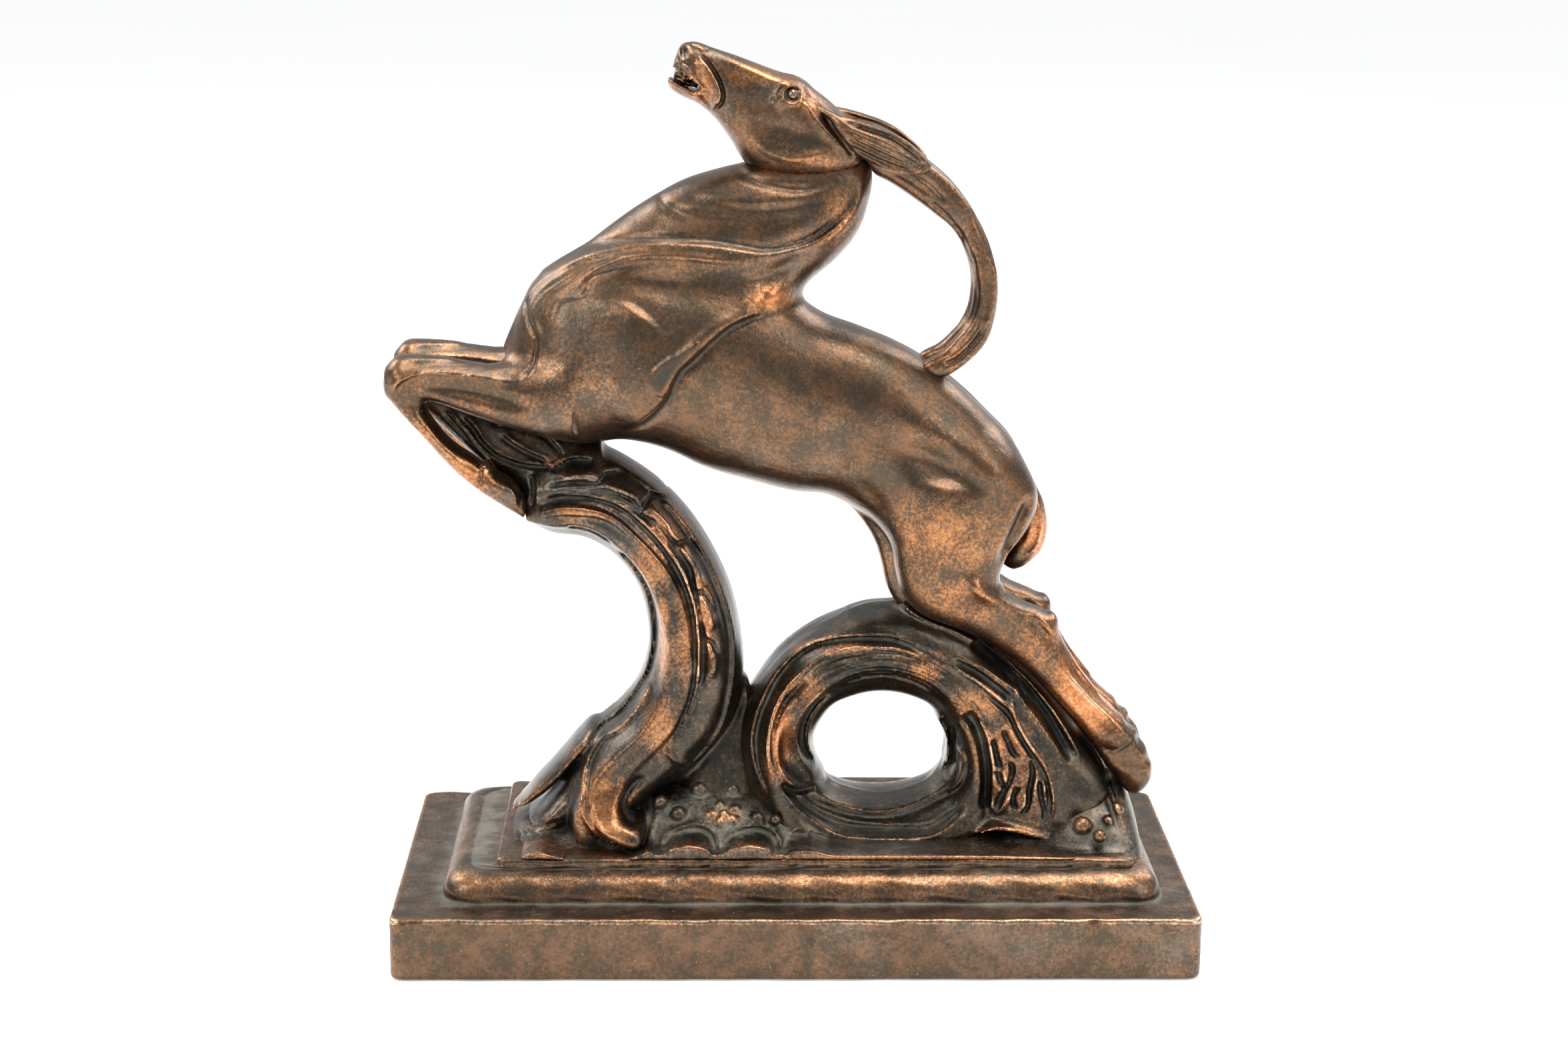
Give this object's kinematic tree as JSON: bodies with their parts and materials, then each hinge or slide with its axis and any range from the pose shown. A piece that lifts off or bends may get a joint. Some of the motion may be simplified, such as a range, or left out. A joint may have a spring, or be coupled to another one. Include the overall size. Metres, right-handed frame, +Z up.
{
  "type": "leaping antelope statuette",
  "caption": "Leaping antelope with swept-back horns, carried on a tall C-scroll and a ring scroll over a stepped rectangular plinth.",
  "frame": {"origin": "centre of the felt pad's underside, on the surface the statuette stands on", "axes": "+Z up, +X towards the antelope's tail and +Y from the viewer's side to the far side"},
  "size_m": [0.1533, 0.074, 0.1711],
  "materials": {
    "bronze": "satin antique bronze, rubbed copper highlights",
    "dark_bronze": "dark brown-green bronze patina",
    "eye_gloss": "glossy dark bead",
    "steel": "plain zinc-plated steel",
    "felt": "dark felt"
  },
  "bodies": {
    "root": {"body": "bronze", "far_ear": "bronze", "far_eye": "eye_gloss", "far_foreleg": "bronze", "far_hind_leg": "bronze", "far_horn": "bronze", "felt_pad": "felt", "front_scroll": "dark_bronze", "ground_relief": "dark_bronze", "head": "bronze", "near_ear": "bronze", "near_eye": "eye_gloss", "near_foreleg": "bronze", "near_hind_leg": "bronze", "near_horn": "bronze", "nut_front_far": "steel", "nut_front_near": "steel", "nut_rear_left": "steel", "nut_rear_right": "steel", "pin_chest": "steel", "pin_far_leg": "steel", "pin_near_leg": "steel", "plinth": "bronze", "rear_scroll": "dark_bronze", "stud_front_far": "steel", "stud_front_near": "steel", "stud_rear_left": "steel", "stud_rear_right": "steel", "tail": "bronze", "washer_front_far": "steel", "washer_front_near": "steel", "washer_rear_left": "steel", "washer_rear_right": "steel"}
  },
  "joints": []
}
